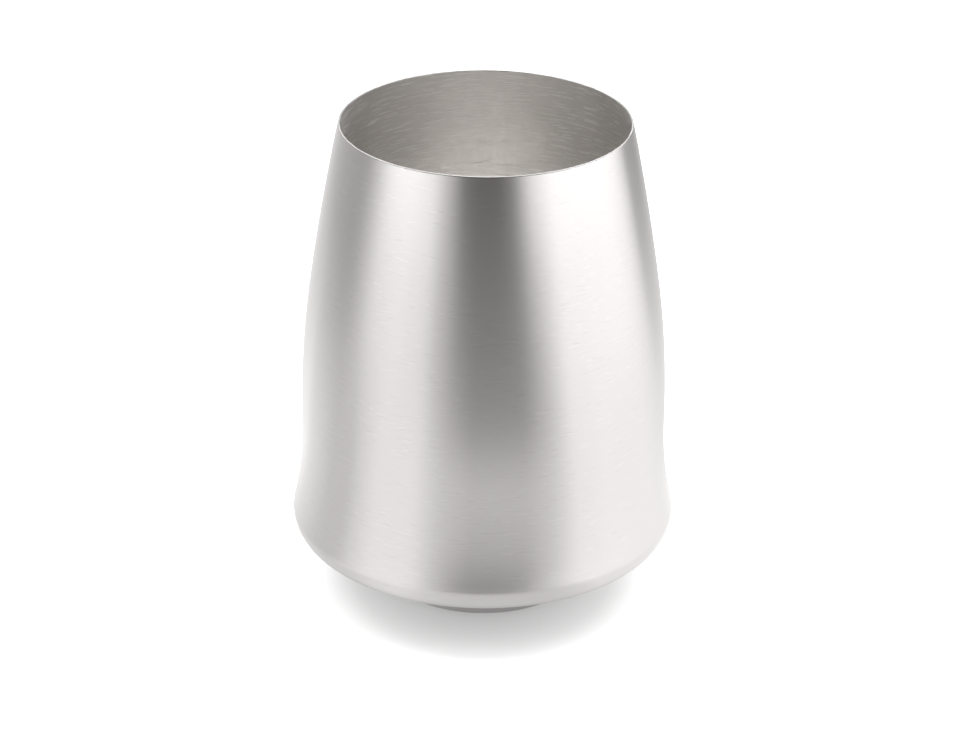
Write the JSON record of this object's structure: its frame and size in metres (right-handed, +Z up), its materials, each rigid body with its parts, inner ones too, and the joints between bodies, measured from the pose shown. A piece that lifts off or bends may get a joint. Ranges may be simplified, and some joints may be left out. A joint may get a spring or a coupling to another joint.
{
  "type": "deep drawn metal cup",
  "caption": "Stemless tumbler drawn in one piece from thin stainless steel sheet, tapering to its mouth, with a rounded hip and a small pressed foot.",
  "frame": {"origin": "centre of the foot's seat, on the surface that the cup stands on", "axes": "+Z up along the axis of revolution, towards the mouth; +X and +Y are free, because the cup is turned"},
  "size_m": [0.088, 0.088, 0.111],
  "materials": {
    "stainless_steel": "fine satin brushed around the cup, with a bright rounded lip"
  },
  "bodies": {
    "root": {"cup": "stainless_steel"}
  },
  "joints": []
}
